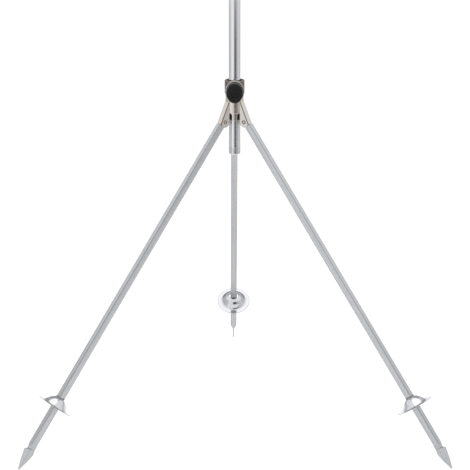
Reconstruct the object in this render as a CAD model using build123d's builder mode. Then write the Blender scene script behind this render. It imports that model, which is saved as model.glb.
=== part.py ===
"""Ground-spike tripod stand for fishing rods and other field gear.

A round mast slides and turns in a plated hub, where a hand knob clamps it. Three square-tube legs fold
on rivets in pressed forks, each with a pressed sand disc and a lower end flattened to a spear point.

Millimetres. +Z up, -Y is the knob side, and the origin is on the ground below the mast's axis.
"""

import math
import os

from build123d import *

# --- driving dimensions ---------------------------------------------------------------------------
mast_radius = 12.5
mast_wall = 1.5
mast_foot_z = 622.5  # lower face of the end cap, with the mast clamped at its rest height
mast_top_z = 1400.0  # upper face of the top plug

lean = 35.8  # each leg's angle from the vertical, degrees
pivot_radius = 27.5  # rivet centre from the mast's axis
pivot_z = 698.0
leg_azimuths = {"left": 210.0, "right": 330.0, "rear": 90.0}

tube_width = 14.0
tube_wall = 1.2
tube_corner = 1.4
tube_offset = 1.5  # the tube's centre line lies this far outside the rivet's centre

disc_stations = {"left": 706.0, "right": 706.0, "rear": 698.5}  # rivet to each disc's brim, along the leg
disc_radius = 40.0

clamp_z = 765.0  # height of the clamp screw's axis
running = 0.05  # radial clearance of every running fit

os.makedirs("parts", exist_ok=True)


def keep(builder, name):
    """Labels a finished piece and writes its STEP file."""
    builder.part.label = name
    export_step(builder.part, f"parts/{name}.step")


# --- mast -------------------------------------------------------------------------------------------
cap_height = 16.0
cap_lip_height = 4.0
cap_lip_radius = mast_radius + 0.3
plug_flange = 9.0
spigot_radius = mast_radius - mast_wall
tube_foot_z = mast_foot_z + cap_height
tube_head_z = mast_top_z - plug_flange

with BuildPart() as mast_tube:
    with BuildSketch(Plane.XY.offset(tube_foot_z)):
        Circle(mast_radius)
        Circle(mast_radius - mast_wall, mode=Mode.SUBTRACT)
    extrude(amount=tube_head_z - tube_foot_z)
keep(mast_tube, "mast_tube")

cap_spigot = 16.0
cap_round = 3.5
with BuildPart() as mast_end_cap:
    with BuildSketch(Plane.XZ):
        with BuildLine():
            Polyline(
                (0, mast_foot_z),
                (mast_radius, mast_foot_z),
                (mast_radius, tube_foot_z - cap_lip_height),
                (cap_lip_radius, tube_foot_z - cap_lip_height),
                (cap_lip_radius, tube_foot_z),
                (spigot_radius, tube_foot_z),
                (spigot_radius, tube_foot_z + cap_spigot),
                (0, tube_foot_z + cap_spigot),
                close=True,
            )
        make_face()
    revolve(axis=Axis.Z)
    fillet(mast_end_cap.edges().filter_by(GeomType.CIRCLE).sort_by(Axis.Z)[0], cap_round)
keep(mast_end_cap, "mast_end_cap")

socket_radius = 4.15  # tap drill of a 3/8 in BSF thread
socket_depth = 18.0
insert_radius = 7.0
insert_length = 22.0
plug_spigot = 25.0
with BuildPart() as mast_top_plug:
    with BuildSketch(Plane.XY.offset(tube_head_z)):
        Circle(mast_radius)
    extrude(amount=plug_flange)
    with BuildSketch(Plane.XY.offset(tube_head_z)):
        Circle(spigot_radius)
    extrude(amount=-plug_spigot)
    fillet(mast_top_plug.edges().filter_by(GeomType.CIRCLE).sort_by(Axis.Z)[-1], 2.0)
    with BuildSketch(Plane.XY.offset(mast_top_z)):
        Circle(insert_radius)
    extrude(amount=-insert_length, mode=Mode.SUBTRACT)
keep(mast_top_plug, "mast_top_plug")

with BuildPart() as socket_insert:
    with BuildSketch(Plane.XY.offset(mast_top_z)):
        Circle(insert_radius)
    extrude(amount=-insert_length)
    with BuildSketch(Plane.XY.offset(mast_top_z)):
        Circle(socket_radius)
    extrude(amount=-socket_depth, mode=Mode.SUBTRACT)
keep(socket_insert, "socket_insert")

# --- hub: sleeve, bushes and collar -------------------------------------------------------------------
sleeve_radius = 19.4
sleeve_wall = 1.8
sleeve_foot_z = 716.0
sleeve_head_z = 786.3
sleeve_floor = 2.5
neck_bore = 14.0
neck_radius = 14.9
neck_foot_z = 700.0
slot_top_z = 712.5
slot_width = 4.3
slot_count = 6
boss_radius = 7.0

with BuildPart() as hub_sleeve:
    with BuildSketch(Plane.XY.offset(sleeve_foot_z)):
        Circle(sleeve_radius)
    extrude(amount=sleeve_head_z - sleeve_foot_z)
    fillet(hub_sleeve.edges().sort_by(Axis.Z)[0], 1.0)
    with BuildSketch(Plane.XY.offset(neck_foot_z)):
        Circle(neck_radius)
    extrude(amount=sleeve_foot_z - neck_foot_z)
    with BuildSketch(Plane.XY.offset(neck_foot_z)):
        Circle(neck_bore)
    extrude(amount=sleeve_head_z - neck_foot_z, mode=Mode.SUBTRACT)
    with BuildSketch(Plane.XY.offset(sleeve_foot_z + sleeve_floor)):
        Circle(sleeve_radius - sleeve_wall)
    extrude(amount=sleeve_head_z - sleeve_foot_z, mode=Mode.SUBTRACT)
    # slots split the neck into spring fingers
    with BuildSketch(Plane.XY.offset(neck_foot_z)):
        with PolarLocations(neck_bore, slot_count):
            Rectangle(4 * (neck_radius - neck_bore), slot_width)
    extrude(amount=slot_top_z - neck_foot_z, mode=Mode.SUBTRACT)
    with BuildSketch(Plane.XZ):
        with Locations((0, clamp_z)):
            Circle(boss_radius)
    extrude(amount=sleeve_radius + 1, mode=Mode.SUBTRACT)
keep(hub_sleeve, "hub_sleeve")

# the guide bush turns in the neck with the mast; its flange runs on the sleeve's floor
bush_flange_z = sleeve_foot_z + sleeve_floor + 0.1
bush_flange = 2.5
with BuildPart() as guide_bush:
    with BuildSketch(Plane.XY.offset(neck_foot_z + 0.5)):
        Circle(neck_bore - running)
    extrude(amount=bush_flange_z + bush_flange - neck_foot_z - 0.5)
    with BuildSketch(Plane.XY.offset(bush_flange_z)):
        Circle(sleeve_radius - sleeve_wall - 0.3)
    extrude(amount=bush_flange)
    with BuildSketch(Plane.XY.offset(neck_foot_z)):
        Circle(mast_radius + running)
    extrude(amount=sleeve_head_z - neck_foot_z, mode=Mode.SUBTRACT)
keep(guide_bush, "guide_bush")

upper_bush_foot_z = 774.0
upper_bush_head_z = 782.0
with BuildPart() as upper_bush:
    with BuildSketch(Plane.XY.offset(upper_bush_foot_z)):
        Circle(sleeve_radius - sleeve_wall)
        Circle(mast_radius + running, mode=Mode.SUBTRACT)
    extrude(amount=upper_bush_head_z - upper_bush_foot_z)
keep(upper_bush, "upper_bush")

collar_radius = 21.4
collar_foot_z = 757.5
collar_head_z = 786.0
with BuildPart() as clamp_collar:
    with BuildSketch(Plane.XY.offset(collar_foot_z)):
        Circle(collar_radius)
    extrude(amount=collar_head_z - collar_foot_z)
    fillet(clamp_collar.edges().filter_by(GeomType.CIRCLE), 1.0)
    with BuildSketch(Plane.XY.offset(collar_foot_z)):
        Circle(sleeve_radius)
    extrude(amount=collar_head_z - collar_foot_z, mode=Mode.SUBTRACT)
    with BuildSketch(Plane.XZ):
        with Locations((0, clamp_z)):
            Circle(boss_radius)
    extrude(amount=collar_radius + 1, mode=Mode.SUBTRACT)
keep(clamp_collar, "clamp_collar")

# --- clamp: boss, pad, screw and knob -----------------------------------------------------------------
screw_radius = 4.0
boss_back = 14.2  # distances in front of the mast's axis
boss_face = 22.6
plate_back = 23.0
plate_thickness = 1.4
plate_half_width = 20.4
plate_half_height = 23.8
pad_face = mast_radius + 0.1
pad_thickness = 2.4
pad_radius = 3.2
pad_stem_radius = 1.2
pad_stem_length = 5.0
screw_start = pad_face + pad_thickness + 0.05
knob_start = plate_back + plate_thickness
knob_thickness = 18.0
knob_face = knob_start + knob_thickness
knob_half_width = 17.6
knob_half_height = 21.4
knob_edge = 3.0
flute_count = 24
flute_radius = 1.5
flute_depth = 0.6
screw_end = knob_face - 6.0
cap_recess = 2.2
knob_cap_radius = 7.0


def front_plane(distance):
    """The plane at that distance in front of the mast, facing the knob side, centred on the clamp screw."""
    return Plane(origin=(0, -distance, clamp_z), x_dir=(1, 0, 0), z_dir=(0, -1, 0))


with BuildPart() as clamp_boss:
    with BuildSketch(front_plane(boss_back)):
        Circle(boss_radius)
        Circle(screw_radius + running, mode=Mode.SUBTRACT)
    extrude(amount=boss_face - boss_back)
keep(clamp_boss, "clamp_boss")

with BuildPart() as clamp_pad:
    with BuildSketch(front_plane(pad_face)):
        Circle(pad_radius)
    extrude(amount=pad_thickness)
    with BuildSketch(front_plane(pad_face + pad_thickness)):
        Circle(pad_stem_radius)
    extrude(amount=pad_stem_length)
keep(clamp_pad, "clamp_pad")

with BuildPart() as clamp_screw:
    with BuildSketch(front_plane(screw_start)):
        Circle(screw_radius)
    extrude(amount=screw_end - screw_start)
    with BuildSketch(front_plane(screw_start)):
        Circle(pad_stem_radius + running)
    extrude(amount=pad_stem_length + 0.5, mode=Mode.SUBTRACT)
keep(clamp_screw, "clamp_screw")

with BuildPart() as knob_plate:
    with BuildSketch(front_plane(plate_back)):
        Ellipse(plate_half_width, plate_half_height)
    extrude(amount=plate_thickness)
    fillet(knob_plate.edges(), 0.5)
    with BuildSketch(front_plane(plate_back)):
        Circle(screw_radius)
    extrude(amount=plate_thickness, mode=Mode.SUBTRACT)
keep(knob_plate, "knob_plate")

with BuildPart() as clamp_knob:
    with BuildSketch(front_plane(knob_start)):
        Ellipse(knob_half_width, knob_half_height)
    extrude(amount=knob_thickness)
    fillet(clamp_knob.faces().sort_by(Axis.Y)[0].edges(), knob_edge)
    with BuildSketch(front_plane(knob_start)):
        for flute in range(flute_count):
            angle = 2 * math.pi * flute / flute_count
            reach = flute_radius - flute_depth
            with Locations(
                ((knob_half_width + reach) * math.cos(angle), (knob_half_height + reach) * math.sin(angle))
            ):
                Circle(flute_radius)
    extrude(amount=knob_thickness - knob_edge, mode=Mode.SUBTRACT)
    with BuildSketch(front_plane(knob_start)):
        Circle(screw_radius)
    extrude(amount=screw_end - knob_start, mode=Mode.SUBTRACT)
    with BuildSketch(front_plane(knob_face)):
        Circle(knob_cap_radius)
    extrude(amount=-cap_recess, mode=Mode.SUBTRACT)
keep(clamp_knob, "clamp_knob")

with BuildPart() as knob_cap:
    with BuildSketch(front_plane(knob_face - cap_recess)):
        Circle(knob_cap_radius)
    extrude(amount=cap_recess - 0.4)
    fillet(knob_cap.faces().sort_by(Axis.Y)[0].edges(), 0.8)
keep(knob_cap, "knob_cap")

# --- forks and rivets ------------------------------------------------------------------------------------
fork_half_width = 8.6
fork_wall = 1.2
fork_head = (12.0, 757.0)  # radius and height of the web's line inside the sleeve
web_foot = (38.8, 694.2)
plate_round = 10.5  # the plates' lower corner, centred a little below the rivet
plate_round_centre = (28.4, 696.6)
rivet_radius = 3.0
rivet_hollow = 2.0
rivet_head_radius = 4.6
rivet_head_height = 1.6


def radial_plane(azimuth):
    """Plane through the mast's axis: its x is the radius at that azimuth and its y the height."""
    a = math.radians(azimuth)
    return Plane(origin=(0, 0, 0), x_dir=(math.cos(a), math.sin(a), 0), z_dir=(math.sin(a), -math.cos(a), 0))


web_run = math.hypot(web_foot[0] - fork_head[0], web_foot[1] - fork_head[1])
web_down = ((web_foot[0] - fork_head[0]) / web_run, (web_foot[1] - fork_head[1]) / web_run)
web_out = (-web_down[1], web_down[0])


def on_web(along, inward):
    """Point at a distance down the web's line from its head, and inwards from its outer face."""
    return (
        fork_head[0] + web_down[0] * along - web_out[0] * inward,
        fork_head[1] + web_down[1] * along - web_out[1] * inward,
    )


def round_corner(angle):
    """Point of the plates' rounded lower corner at that angle about its centre."""
    turn = math.radians(angle)
    return (
        plate_round_centre[0] + plate_round * math.cos(turn),
        plate_round_centre[1] + plate_round * math.sin(turn),
    )


def make_fork(azimuth):
    """A pressed channel: a sloping web outside and two side plates, open towards the mast."""
    plane = radial_plane(azimuth)
    a = math.radians(azimuth)
    web_axis = Axis((0, 0, 0), (web_down[0] * math.cos(a), web_down[0] * math.sin(a), web_down[1]))
    with BuildPart() as fork:
        with BuildSketch(plane):
            with BuildLine():
                web = Line(fork_head, web_foot)
                lobe = ThreePointArc(round_corner(-50), round_corner(-120), round_corner(-180))
                Line(web @ 1, lobe @ 0)
                Polyline(
                    lobe @ 1,
                    (plate_round_centre[0] - plate_round, sleeve_foot_z),
                    (fork_head[0], sleeve_foot_z),
                    fork_head,
                )
            make_face()
        extrude(amount=fork_half_width, both=True)
        fillet(fork.edges().filter_by(web_axis), 1.8)
        # hollow between the plates
        with BuildSketch(plane):
            with BuildLine():
                Polyline(
                    on_web(-20, fork_wall),
                    on_web(web_run + 20, fork_wall),
                    (0, web_foot[1] - 20),
                    (0, fork_head[1]),
                    close=True,
                )
            make_face()
        extrude(amount=fork_half_width - fork_wall, both=True, mode=Mode.SUBTRACT)
        with BuildSketch(Plane.XY.offset(sleeve_foot_z)):
            Circle(sleeve_radius)
        extrude(amount=60, mode=Mode.SUBTRACT)
        with BuildSketch(plane):
            with Locations((pivot_radius, pivot_z)):
                Circle(rivet_radius)
        extrude(amount=fork_half_width + 1, both=True, mode=Mode.SUBTRACT)
    return fork


def make_rivet(azimuth):
    """A tubular rivet with a low domed head on each outer face of its fork."""
    plane = radial_plane(azimuth)
    with BuildPart() as rivet:
        with BuildSketch(plane):
            with Locations((pivot_radius, pivot_z)):
                Circle(rivet_radius)
        extrude(amount=fork_half_width + 0.2, both=True)
        for side in (1, -1):
            with BuildSketch(plane.offset(side * fork_half_width)):
                with Locations((pivot_radius, pivot_z)):
                    Circle(rivet_head_radius)
            extrude(amount=side * rivet_head_height, taper=25)
        with BuildSketch(plane):
            with Locations((pivot_radius, pivot_z)):
                Circle(rivet_hollow)
        extrude(amount=fork_half_width + rivet_head_height + 1, both=True, mode=Mode.SUBTRACT)
    return rivet


# --- legs ---------------------------------------------------------------------------------------------------
lean_angle = math.radians(lean)
tip_half = 0.6
leg_length = (pivot_z + (tube_offset - tip_half) * math.sin(lean_angle)) / math.cos(lean_angle)  # rivet to tip
tongue_radius = 7.0
notch_depth = 3.3
notch_foot = 10.6  # the tube's outer wall starts this far below the rivet, under the fork's web
press_start = leg_length - 63.0
press_end = leg_length - 49.0
blade_half = 1.5
blade_outer = 13.2  # reach of the blade's two shoulders from the tube's centre line
blade_inner = 13.2

crown_height = 18.6
crown_top_radius = 10.0
disc_sheet = 1.0
disc_tilts = {"left": 3.5, "right": -1.5, "rear": -3.0}  # degrees each disc leans past square, within its play
square_hole = tube_width + 0.6
grommet_lift = 0.8
grommet_height = 2.6
grommet_wall = 0.8
pin_radius = 1.5
pin_length = tube_width + 6.0
pin_drop = 5.0  # crown's top to the pin, along the leg


def leg_frame(azimuth):
    """Rivet centre, downward direction along the leg and outward normal of its outer wall."""
    a = math.radians(azimuth)
    out = Vector(math.cos(a), math.sin(a), 0)
    up = Vector(0, 0, 1)
    pivot = out * pivot_radius + up * pivot_z
    down = out * math.sin(lean_angle) - up * math.cos(lean_angle)
    normal = out * math.cos(lean_angle) + up * math.sin(lean_angle)
    return pivot, down, normal


def cross_plane(azimuth, station):
    """Plane across the leg's centre line at that distance below the rivet: x outwards, z down the leg."""
    pivot, down, normal = leg_frame(azimuth)
    return Plane(origin=pivot + normal * tube_offset + down * station, x_dir=normal, z_dir=down)


def side_plane(azimuth):
    """Plane along the leg's centre line: x outwards, y down the leg."""
    pivot, down, normal = leg_frame(azimuth)
    return Plane(origin=pivot + normal * tube_offset, x_dir=normal, z_dir=normal.cross(down))


def make_leg(azimuth, crown_station):
    """Square tube with a rounded tongue at the rivet and a flattened, pointed lower end."""
    side = side_plane(azimuth)
    half = tube_width / 2
    with BuildPart() as leg:
        with BuildSketch(cross_plane(azimuth, -tongue_radius)):
            RectangleRounded(tube_width, tube_width, tube_corner)
        extrude(amount=press_start + tongue_radius)
        with BuildSketch(cross_plane(azimuth, -tongue_radius)):
            RectangleRounded(
                tube_width - 2 * tube_wall, tube_width - 2 * tube_wall, tube_corner - tube_wall
            )
        extrude(amount=press_start + tongue_radius, mode=Mode.SUBTRACT)
        # pressed end: square at the tube, flat at the blade
        with BuildSketch(cross_plane(azimuth, press_start)):
            RectangleRounded(tube_width, tube_width, tube_corner)
        with BuildSketch(cross_plane(azimuth, press_end)):
            with Locations((-1.5, 0)):
                RectangleRounded(tube_width + 5, 2 * blade_half, 0.6)
        loft()
        with BuildSketch(side):
            with BuildLine():
                Polyline(
                    (half - 0.5, press_start + 8),
                    (half + 0.6, press_end + 0.5),
                    (blade_outer, leg_length - 46.5),
                    (blade_outer * 0.6, leg_length - 22),
                    (tip_half, leg_length),
                    (-tip_half, leg_length),
                    (-blade_inner * 0.65, leg_length - 21),
                    (-blade_inner, leg_length - 39.5),
                    (-half - 3.2, leg_length - 54),
                    (-half + 0.5, press_start + 3),
                    close=True,
                )
            make_face()
        extrude(amount=blade_half, both=True)
        # the outer wall stops below the fork's web; what is left is rounded about the rivet
        with BuildSketch(side):
            with Locations((half, notch_foot - 20)):
                Rectangle(2 * notch_depth, 40)
        extrude(amount=half + 1, both=True, mode=Mode.SUBTRACT)
        with BuildSketch(side):
            with Locations((-tube_offset, -20)):
                Rectangle(40, 40)
            with Locations((-tube_offset, 0)):
                Circle(tongue_radius, mode=Mode.SUBTRACT)
        extrude(amount=half + 1, both=True, mode=Mode.SUBTRACT)
        with BuildSketch(side):
            with Locations((-tube_offset, 0)):
                Circle(rivet_radius + running)
            with Locations((0, crown_station + pin_drop)):
                Circle(pin_radius)
        extrude(amount=half + 1, both=True, mode=Mode.SUBTRACT)
    return leg


def under(curve, along):
    """Point on the sheet's lower side, square to the curve of its upper side."""
    point = curve @ along
    heading = curve % along
    return (point.X - heading.Y * disc_sheet, point.Y + heading.X * disc_sheet)


def make_disc(azimuth, crown_station, tilt):
    """Pressed steel disc, shaped like a bowler hat, with a square hole in its crown."""
    pivot, down, normal = leg_frame(azimuth)
    crown_centre = pivot + normal * tube_offset + down * crown_station
    leaned = normal * math.cos(math.radians(tilt)) - down * math.sin(math.radians(tilt))
    side = Plane(origin=crown_centre, x_dir=leaned, z_dir=normal.cross(down))
    across = Plane(origin=crown_centre, x_dir=normal, z_dir=down)
    brim = crown_height
    with BuildPart() as disc:
        with BuildSketch(side):
            with BuildLine():
                top = Line((square_hole / 4, 0), (crown_top_radius, 0))
                dome = Spline(
                    top @ 1,
                    (15.0, 2.7),
                    (20.4, 7.8),
                    (24.8, 13.4),
                    (28.0, brim - 1.6),
                    tangents=((1, 0.05), (1, 0.9)),
                )
                root = Spline(dome @ 1, (31.5, brim), tangents=((1, 0.9), (1, 0)))
                lower_side = [under(dome, step / 6) for step in range(7)]
                lower_side += [under(root, 0.5), under(root, 1)]
                skin = Spline(*lower_side)
                Polyline(root @ 1, (disc_radius, brim), (disc_radius, brim + disc_sheet), skin @ 1)
                Polyline(skin @ 0, (square_hole / 4, disc_sheet), top @ 0)
            make_face()
        revolve(axis=Axis(crown_centre, side.y_dir))
        with BuildSketch(across.offset(-3)):
            Rectangle(square_hole, square_hole)
        extrude(amount=6, mode=Mode.SUBTRACT)
    return disc


def make_grommet(azimuth, crown_station):
    """Square rubber ring gripping the tube on top of the disc's crown."""
    outer = tube_width + 2 * grommet_wall
    with BuildPart() as grommet:
        with BuildSketch(cross_plane(azimuth, crown_station - grommet_lift)):
            RectangleRounded(outer, outer, tube_corner + grommet_wall)
            RectangleRounded(tube_width, tube_width, tube_corner, mode=Mode.SUBTRACT)
        extrude(amount=-grommet_height)
    return grommet


def make_pin(azimuth, crown_station):
    """Spring pin through the leg, under the crown, that carries the foot's push on the disc."""
    with BuildPart() as pin:
        with BuildSketch(side_plane(azimuth)):
            with Locations((0, crown_station + pin_drop)):
                Circle(pin_radius)
        extrude(amount=pin_length / 2, both=True)
    return pin


for side_name, side_azimuth in leg_azimuths.items():
    keep(make_fork(side_azimuth), f"fork_{side_name}")
    keep(make_rivet(side_azimuth), f"pivot_rivet_{side_name}")
    crown = disc_stations[side_name] - crown_height
    keep(make_leg(side_azimuth, crown), f"leg_{side_name}")
    keep(make_disc(side_azimuth, crown, disc_tilts[side_name]), f"sand_disc_{side_name}")
    keep(make_grommet(side_azimuth, crown), f"disc_grommet_{side_name}")
    keep(make_pin(side_azimuth, crown), f"disc_pin_{side_name}")

print(f"leg length from rivet to tip {leg_length:.1f} mm")
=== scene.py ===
import math

import bmesh
import bpy
import numpy as np
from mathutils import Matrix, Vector


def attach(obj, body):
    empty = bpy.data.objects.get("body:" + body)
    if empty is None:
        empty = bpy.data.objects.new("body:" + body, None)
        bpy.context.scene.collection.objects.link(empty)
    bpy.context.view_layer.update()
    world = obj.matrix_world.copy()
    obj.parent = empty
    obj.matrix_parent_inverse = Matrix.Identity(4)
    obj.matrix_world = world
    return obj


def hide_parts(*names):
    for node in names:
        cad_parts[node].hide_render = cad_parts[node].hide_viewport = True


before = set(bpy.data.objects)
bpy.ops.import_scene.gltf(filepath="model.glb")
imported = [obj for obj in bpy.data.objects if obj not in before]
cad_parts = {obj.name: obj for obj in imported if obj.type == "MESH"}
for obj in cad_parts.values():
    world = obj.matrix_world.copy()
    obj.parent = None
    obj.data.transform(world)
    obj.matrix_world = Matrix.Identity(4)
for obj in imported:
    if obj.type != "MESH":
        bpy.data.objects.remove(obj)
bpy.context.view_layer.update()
mm = 0.001
fullTurn = 2 * math.pi


# shader wiring: a socket that can be added, multiplied and mixed


class Wire:
    def __init__(self, paint, socket):
        self.paint = paint
        self.socket = socket

    def sum(self, operation, first, second):
        return self.paint.node("ShaderNodeMath", {"operation": operation}, {0: first, 1: second})

    def __add__(self, other):
        return self.sum("ADD", self, other)

    def __radd__(self, other):
        return self.sum("ADD", other, self)

    def __sub__(self, other):
        return self.sum("SUBTRACT", self, other)

    def __rsub__(self, other):
        return self.sum("SUBTRACT", other, self)

    def __mul__(self, other):
        return self.sum("MULTIPLY", self, other)

    def __rmul__(self, other):
        return self.sum("MULTIPLY", other, self)


class Paint:
    def __init__(self, name):
        self.material = bpy.data.materials.new(name)
        self.material.use_nodes = True
        self.tree = self.material.node_tree
        self.tree.nodes.clear()
        self.shader = self.tree.nodes.new("ShaderNodeBsdfPrincipled")
        self.output = self.tree.nodes.new("ShaderNodeOutputMaterial")
        self.tree.links.new(self.shader.outputs[0], self.output.inputs["Surface"])

    # any node: its type, its settings first, then the values or wires of its sockets
    def node(self, kind, settings, sockets, out=0):
        made = self.tree.nodes.new(kind)
        for key, value in settings.items():
            setattr(made, key, value)
        for key, value in sockets.items():
            self.feed(made.inputs[key], value)
        return Wire(self, made.outputs[out])

    def feed(self, socket, value):
        if isinstance(value, Wire):
            self.tree.links.new(value.socket, socket)
        elif isinstance(value, tuple) and len(value) == 3 and len(socket.default_value) == 4:
            socket.default_value = (*value, 1)
        else:
            socket.default_value = value

    def set(self, **sockets):
        for key, value in sockets.items():
            self.feed(self.shader.inputs[key.replace("_", " ")], value)
        return self

    def place(self):
        return self.node("ShaderNodeTexCoord", {}, {}, out="Object")

    def along(self):
        return self.node("ShaderNodeUVMap", {"uv_map": "along"}, {})

    def mark(self, name):
        return self.node("ShaderNodeAttribute", {"attribute_name": name}, {}, out="Fac")

    def stretched(self, where, scale):
        return self.node("ShaderNodeVectorMath", {"operation": "MULTIPLY"}, {0: where, 1: scale})

    def rotated(self, where, turn):
        return self.node("ShaderNodeMapping", {}, {"Vector": where, "Rotation": turn})

    def noise(self, where, scale, detail=4.0, rough=0.55):
        return self.node(
            "ShaderNodeTexNoise",
            {"normalize": True},
            {"Vector": where, "Scale": scale, "Detail": detail, "Roughness": rough},
        )

    def between(self, value, low, high, start=0.0, end=1.0):
        return self.node(
            "ShaderNodeMapRange",
            {"interpolation_type": "SMOOTHSTEP"},
            {"Value": value, "From Min": low, "From Max": high, "To Min": start, "To Max": end},
        )

    def blend(self, mask, first, second):
        return self.node("ShaderNodeMix", {"data_type": "RGBA"}, {0: mask, 6: first, 7: second}, out=2)

    def bump(self, height, strength, distance):
        return self.node("ShaderNodeBump", {}, {"Height": height, "Strength": strength, "Distance": distance})


# surfaces


# quads over a grid of points; the wrap flags join the last row or column to the first
def gridFaces(rows, columns, wrapRows, wrapColumns):
    i = np.arange(rows if wrapRows else rows - 1)
    j = np.arange(columns if wrapColumns else columns - 1)
    i, j = np.meshgrid(i, j, indexing="ij")
    iNext, jNext = i + 1, j + 1
    corners = np.stack([(i, j), (iNext, j), (iNext, jNext), (i, jNext)], 0)
    raw = corners.transpose(2, 3, 0, 1).reshape(-1, 4, 2)
    index = (raw[..., 0] % rows) * columns + raw[..., 1] % columns
    return index, raw


# the signed volume of a closed set of quads: the sum of a . (b x c) over their triangles
def volumeOf(points, faces):
    a, b, c, d = (points[faces[:, k]] for k in range(4))
    return (np.einsum("ij,ij->i", a, np.cross(b, c)) + np.einsum("ij,ij->i", a, np.cross(c, d))).sum() / 6


class Surface:
    # points is rows x columns x 3 in metres, uv the same grid's lengths along and round it
    def __init__(self, points, wrapRows=False, wrapColumns=False, uv=None, marks=None, thinCaps=False):
        rows, columns = points.shape[:2]
        self.points = points.reshape(-1, 3)
        faces, raw = gridFaces(rows, columns, wrapRows, wrapColumns)
        if uv is None:
            stepU = np.linalg.norm(np.diff(points, axis=0, append=points[:1]), axis=2).mean(1)
            stepV = np.linalg.norm(np.diff(points, axis=1, append=points[:, :1]), axis=2).max(0)
            uv = (np.concatenate([[0], np.cumsum(stepU)]), np.concatenate([[0], np.cumsum(stepV)]))
        corners = np.stack([uv[1][raw[..., 1]], uv[0][raw[..., 0]]], -1)
        if thinCaps:
            # a thin closed loop at each end: its outer half faces its inner half
            half = columns // 2
            k = np.arange(half - 1)
            for row in (0, rows - 1):
                cap = np.stack([k, columns - 1 - k, columns - 2 - k, k + 1], 1) + row * columns
                cap = cap if row else cap[:, ::-1]
                faces = np.concatenate([faces, cap])
                flat = np.stack([uv[1][cap % columns], np.full(cap.shape, uv[0][row])], -1)
                corners = np.concatenate([corners, flat])
        if volumeOf(self.points, faces) < 0:
            faces, corners = faces[:, ::-1], corners[:, ::-1]
        self.faces = faces
        self.corners = corners
        spread = {name: np.broadcast_to(value, (rows, columns)) for name, value in (marks or {}).items()}
        self.marks = {name: value.ravel() for name, value in spread.items()}


def added(name, data):
    made = bpy.data.objects.new(name, data)
    bpy.context.collection.objects.link(made)
    return made


# one mesh object from several closed surfaces, in place of one node of the frame
def buildPiece(name, surfaces, body, material, node, sharp=32):
    offset, points, faces, corners = 0, [], [], []
    markNames = sorted({key for s in surfaces for key in s.marks})
    marks = {key: [] for key in markNames}
    for s in surfaces:
        points.append(s.points)
        faces.append(s.faces + offset)
        corners.append(s.corners)
        offset += len(s.points)
        for key in markNames:
            marks[key].append(s.marks.get(key, np.zeros(len(s.points))))
    points, faces = np.concatenate(points), np.concatenate(faces)
    mesh = bpy.data.meshes.new(name)
    mesh.from_pydata(points, [], faces.tolist())
    layer = mesh.uv_layers.new(name="along")
    layer.data.foreach_set("uv", np.concatenate(corners).astype(np.float32).ravel())
    for key in markNames:
        field = mesh.attributes.new(key, "FLOAT", "POINT")
        field.data.foreach_set("value", np.concatenate(marks[key]).astype(np.float32))
    weld(mesh)
    mesh.polygons.foreach_set("use_smooth", np.ones(len(mesh.polygons), bool))
    mesh.set_sharp_from_angle(angle=math.radians(sharp))
    mesh.materials.append(finish[material])
    made = added(name, mesh)
    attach(made, body)
    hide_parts(node)


# the same from one outline turned about an axis, with its long sides split
def buildTurned(name, outline, step, place, sides, body, material, node):
    buildPiece(name, [turned(finer(outline, step), place, sides)], body, material, node)


# merges the points of each pole, which the grid lays on one spot, and drops the bare edges left there
def weld(mesh):
    soft = bmesh.new()
    soft.from_mesh(mesh)
    bmesh.ops.remove_doubles(soft, verts=soft.verts, dist=2e-7)
    bmesh.ops.delete(soft, geom=[e for e in soft.edges if not e.link_faces], context="EDGES")
    bmesh.ops.delete(soft, geom=[v for v in soft.verts if not v.link_faces], context="VERTS")
    soft.to_mesh(mesh)
    soft.free()


# a closed outline from corners (x, y, rounding): each corner becomes an arc tangent to both sides
def softOutline(corners, steps=5):
    flat = np.array([c[:2] for c in corners], float)
    rounding = [c[2] if len(c) > 2 else 0.0 for c in corners]
    points = []
    for k, here in enumerate(flat):
        before, after = flat[k - 1] - here, flat[(k + 1) % len(flat)] - here
        before, after = before / np.linalg.norm(before), after / np.linalg.norm(after)
        if rounding[k] <= 0:
            points.append(here[None])
            continue
        half = math.acos(np.clip(before @ after, -1, 1)) / 2
        reach = rounding[k] / math.tan(half)
        bisector = (before + after) / np.linalg.norm(before + after)
        centre = here + bisector * rounding[k] / math.sin(half)
        first, last = here + before * reach - centre, here + after * reach - centre
        sweep = math.atan2(first[0] * last[1] - first[1] * last[0], first @ last)
        angle = np.linspace(0, sweep, steps + 1)[:, None]
        side = np.array([-first[1], first[0]])
        points.append(centre + first * np.cos(angle) + side * np.sin(angle))
    return np.concatenate(points)


# splits the outline's long sides so that no step passes the given length, with a first and last
# step of a tenth of a millimetre so that the shading of a rounded corner stays in that corner
def finer(outline, step, hold=0.1):
    closed = np.vstack([outline, outline[:1]])
    pieces = []
    for here, there in zip(closed[:-1], closed[1:]):
        length = np.linalg.norm(there - here)
        along = np.linspace(0, 1, max(1, math.ceil(length / step)), endpoint=False)
        if length > 6 * hold:
            along = np.sort(np.concatenate([along, [hold / length, 1 - hold / length]]))
        pieces.append(here + (there - here) * along[:, None])
    return np.concatenate(pieces)


# turned surface: an outline (radius, station) carried round an axis; x = r cos a, y = r sin a
def turned(outline, place, sides):
    a = np.arange(sides) * fullTurn / sides
    r, s = outline[:, :1], outline[:, 1:2]
    points = place(r * np.cos(a), r * np.sin(a), s + 0 * a)
    steps = np.linalg.norm(np.diff(np.vstack([outline, outline[:1]]), axis=0), axis=1)
    girth = np.arange(sides + 1) * fullTurn / sides * outline[:, 0].max() * mm
    return Surface(points, True, True, (np.concatenate([[0], np.cumsum(steps)]) * mm, girth))


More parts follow.
